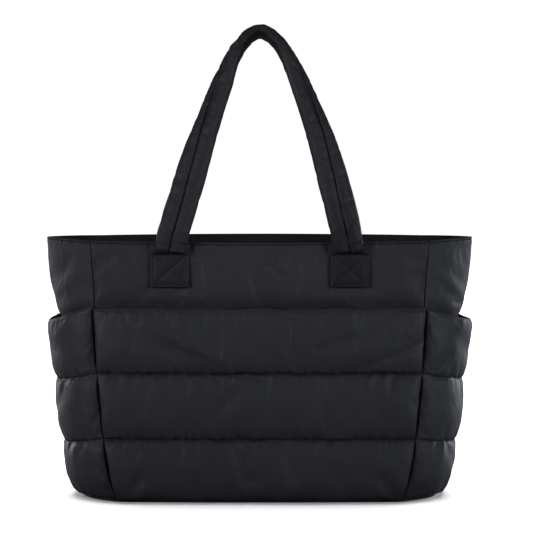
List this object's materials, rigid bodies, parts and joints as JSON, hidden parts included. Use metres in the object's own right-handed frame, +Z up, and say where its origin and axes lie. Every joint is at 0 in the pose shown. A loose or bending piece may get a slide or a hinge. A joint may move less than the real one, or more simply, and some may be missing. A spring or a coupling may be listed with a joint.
{
  "type": "puffer tote bag",
  "caption": "Soft padded tote bag with an open mouth, quilted slip pockets on the front, back and both sides, and padded shoulder handles.",
  "frame": {"origin": "on the surface that the bag stands on, under the middle of the bag's box", "axes": "+Z up, +X to the right along the mouth, the front faces -Y"},
  "size_m": [0.4748, 0.1851, 0.5256],
  "materials": {
    "body_cloth": "soft satin black nylon",
    "quilted_cloth": "soft satin black nylon over padding",
    "strap_cloth": "soft satin black nylon over padding",
    "base_cloth": "matt black nylon",
    "facing_cloth": "matt black nylon"
  },
  "bodies": {
    "root": {"base_panel": "base_cloth", "body_front": "body_cloth", "body_back": "body_cloth", "gusset_left": "body_cloth", "gusset_right": "body_cloth", "rim_facing": "facing_cloth", "front_pocket": "quilted_cloth", "back_pocket": "quilted_cloth", "side_pocket_left": "quilted_cloth", "side_pocket_right": "quilted_cloth", "handle_front": "strap_cloth", "handle_back": "strap_cloth"}
  },
  "joints": []
}
